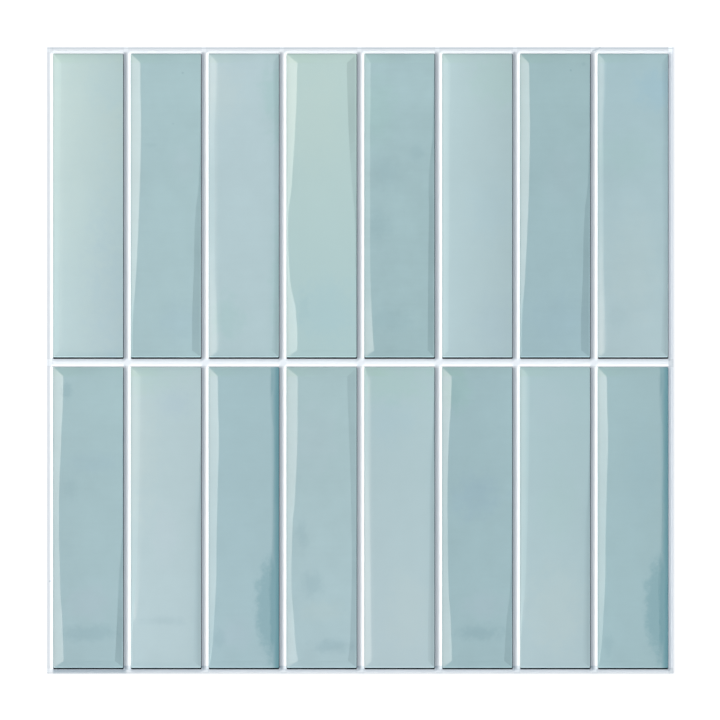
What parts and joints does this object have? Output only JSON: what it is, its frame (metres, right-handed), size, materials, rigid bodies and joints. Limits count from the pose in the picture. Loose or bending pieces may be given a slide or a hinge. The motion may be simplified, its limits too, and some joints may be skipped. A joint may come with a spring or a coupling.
{
  "type": "peel and stick backsplash tile",
  "caption": "Square peel-and-stick wall sheet of upright glossy resin tile faces on white vinyl with hollow grout lines, an adhesive back and a release liner.",
  "frame": {"origin": "middle of the release liner's back face, on which the sheet lies", "axes": "+Z out of the tiles' faces, away from the wall; +Y up the wall, along the tiles; +X to the right as seen from the front"},
  "size_m": [0.3048, 0.3048, 0.0021],
  "materials": {
    "liner_paper": "satin",
    "adhesive": "gloss",
    "white_vinyl": "satin",
    "glaze_seafoam": "gloss",
    "glaze_pale_aqua": "gloss",
    "glaze_aqua": "gloss",
    "glaze_deep_aqua": "gloss"
  },
  "bodies": {
    "root": {"release_liner": "liner_paper", "adhesive_coat": "adhesive", "grout_sheet": "white_vinyl", "upper_tile_1": "glaze_seafoam", "upper_tile_2": "glaze_deep_aqua", "upper_tile_3": "glaze_pale_aqua", "upper_tile_4": "glaze_seafoam", "upper_tile_5": "glaze_deep_aqua", "upper_tile_6": "glaze_pale_aqua", "upper_tile_7": "glaze_deep_aqua", "upper_tile_8": "glaze_aqua", "lower_tile_1": "glaze_deep_aqua", "lower_tile_2": "glaze_pale_aqua", "lower_tile_3": "glaze_deep_aqua", "lower_tile_4": "glaze_aqua", "lower_tile_5": "glaze_pale_aqua", "lower_tile_6": "glaze_deep_aqua", "lower_tile_7": "glaze_aqua", "lower_tile_8": "glaze_deep_aqua"}
  },
  "joints": []
}
